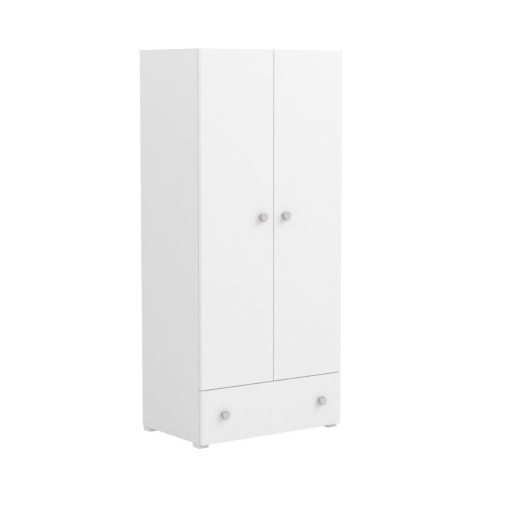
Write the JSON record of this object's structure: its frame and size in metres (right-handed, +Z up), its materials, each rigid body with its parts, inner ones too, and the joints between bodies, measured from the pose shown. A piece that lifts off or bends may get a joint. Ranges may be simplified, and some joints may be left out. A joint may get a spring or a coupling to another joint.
{
  "type": "wardrobe with doors",
  "caption": "White wardrobe with hinged doors above a full-width drawer, heart-shaped knobs, square block feet, hat shelf and clothes rail inside.",
  "frame": {"origin": "middle of the object's box at the floor, with the knobs counted in the box", "axes": "+Z up, the doors and the drawer face -Y, +X to the right seen from the front"},
  "size_m": [0.8, 0.538, 1.8],
  "materials": {
    "front_board": "white foil on MDF, satin, with lightly rounded edges",
    "carcass_board": "white melamine-faced chipboard with edge banding",
    "back_sheet": "white painted hardboard",
    "foot_board": "white lacquered block",
    "white_plastic": "extruded white PVC",
    "rose_lacquer": "dusty rose lacquer on turned and milled wood",
    "rail_steel": "bright chrome-plated tube",
    "hinge_steel": "nickel-plated pressed steel",
    "slide_steel": "zinc-plated rolled steel"
  },
  "bodies": {
    "carcass": {"left_side_panel": "carcass_board", "right_side_panel": "carcass_board", "bottom_panel": "carcass_board", "divider_shelf": "carcass_board", "hat_shelf": "carcass_board", "top_panel": "carcass_board", "back_panel_left": "back_sheet", "back_panel_right": "back_sheet", "back_joining_strip": "white_plastic", "foot_front_left": "foot_board", "foot_front_right": "foot_board", "foot_rear_left": "foot_board", "foot_rear_right": "foot_board", "clothes_rail": "rail_steel", "rail_holder_left": "hinge_steel", "rail_holder_right": "hinge_steel", "slide_outer_left": "slide_steel", "slide_outer_right": "slide_steel", "hinge_plate_left_top": "hinge_steel", "hinge_plate_left_middle": "hinge_steel", "hinge_plate_left_bottom": "hinge_steel", "hinge_plate_right_top": "hinge_steel", "hinge_plate_right_middle": "hinge_steel", "hinge_plate_right_bottom": "hinge_steel", "hinge_arm_left_top": "hinge_steel", "hinge_arm_left_middle": "hinge_steel", "hinge_arm_left_bottom": "hinge_steel", "hinge_arm_right_top": "hinge_steel", "hinge_arm_right_middle": "hinge_steel", "hinge_arm_right_bottom": "hinge_steel"},
    "left_links": {"hinge_link_left_top": "hinge_steel", "hinge_link_left_middle": "hinge_steel", "hinge_link_left_bottom": "hinge_steel"},
    "left_door": {"left_door_panel": "front_board", "left_door_knob": "rose_lacquer", "hinge_cup_left_top": "hinge_steel", "hinge_cup_left_middle": "hinge_steel", "hinge_cup_left_bottom": "hinge_steel"},
    "right_links": {"hinge_link_right_top": "hinge_steel", "hinge_link_right_middle": "hinge_steel", "hinge_link_right_bottom": "hinge_steel"},
    "right_door": {"right_door_panel": "front_board", "right_door_knob": "rose_lacquer", "hinge_cup_right_top": "hinge_steel", "hinge_cup_right_middle": "hinge_steel", "hinge_cup_right_bottom": "hinge_steel"},
    "slide_middles": {"slide_middle_left": "slide_steel", "slide_middle_right": "slide_steel"},
    "drawer": {"drawer_front": "front_board", "drawer_side_left": "carcass_board", "drawer_side_right": "carcass_board", "drawer_back": "carcass_board", "drawer_bottom": "back_sheet", "drawer_knob_left": "rose_lacquer", "drawer_knob_right": "rose_lacquer", "slide_inner_left": "slide_steel", "slide_inner_right": "slide_steel"}
  },
  "joints": [
    {"name": "left_door_hinge", "type": "hinge", "parent": "left_links", "child": "left_door", "pos_m": [-0.386, -0.2304, 0], "axis": [0, 0, -1], "range_deg": [0, 147]},
    {"name": "left_link_hinge", "type": "hinge", "parent": "carcass", "child": "left_links", "pos_m": [-0.365, -0.221, 0], "axis": [0, 0, -1], "range_deg": [-42, 0]},
    {"name": "right_door_hinge", "type": "hinge", "parent": "right_links", "child": "right_door", "pos_m": [0.386, -0.2304, 0], "axis": [0, 0, 1], "range_deg": [0, 147]},
    {"name": "right_link_hinge", "type": "hinge", "parent": "carcass", "child": "right_links", "pos_m": [0.365, -0.221, 0], "axis": [0, 0, 1], "range_deg": [-42, 0]},
    {"name": "drawer_slide", "type": "slide", "parent": "carcass", "child": "drawer", "axis": [0, -1, 0], "range_m": [0, 0.4]},
    {"name": "slide_middle_run", "type": "slide", "parent": "carcass", "child": "slide_middles", "axis": [0, -1, 0], "range_m": [0, 0.2]}
  ],
  "couplings": [
    {"joint": "left_link_hinge", "follows": "left_door_hinge", "ratio": -0.28571},
    {"joint": "right_link_hinge", "follows": "right_door_hinge", "ratio": -0.28571},
    {"joint": "slide_middle_run", "follows": "drawer_slide", "ratio": 0.5}
  ]
}
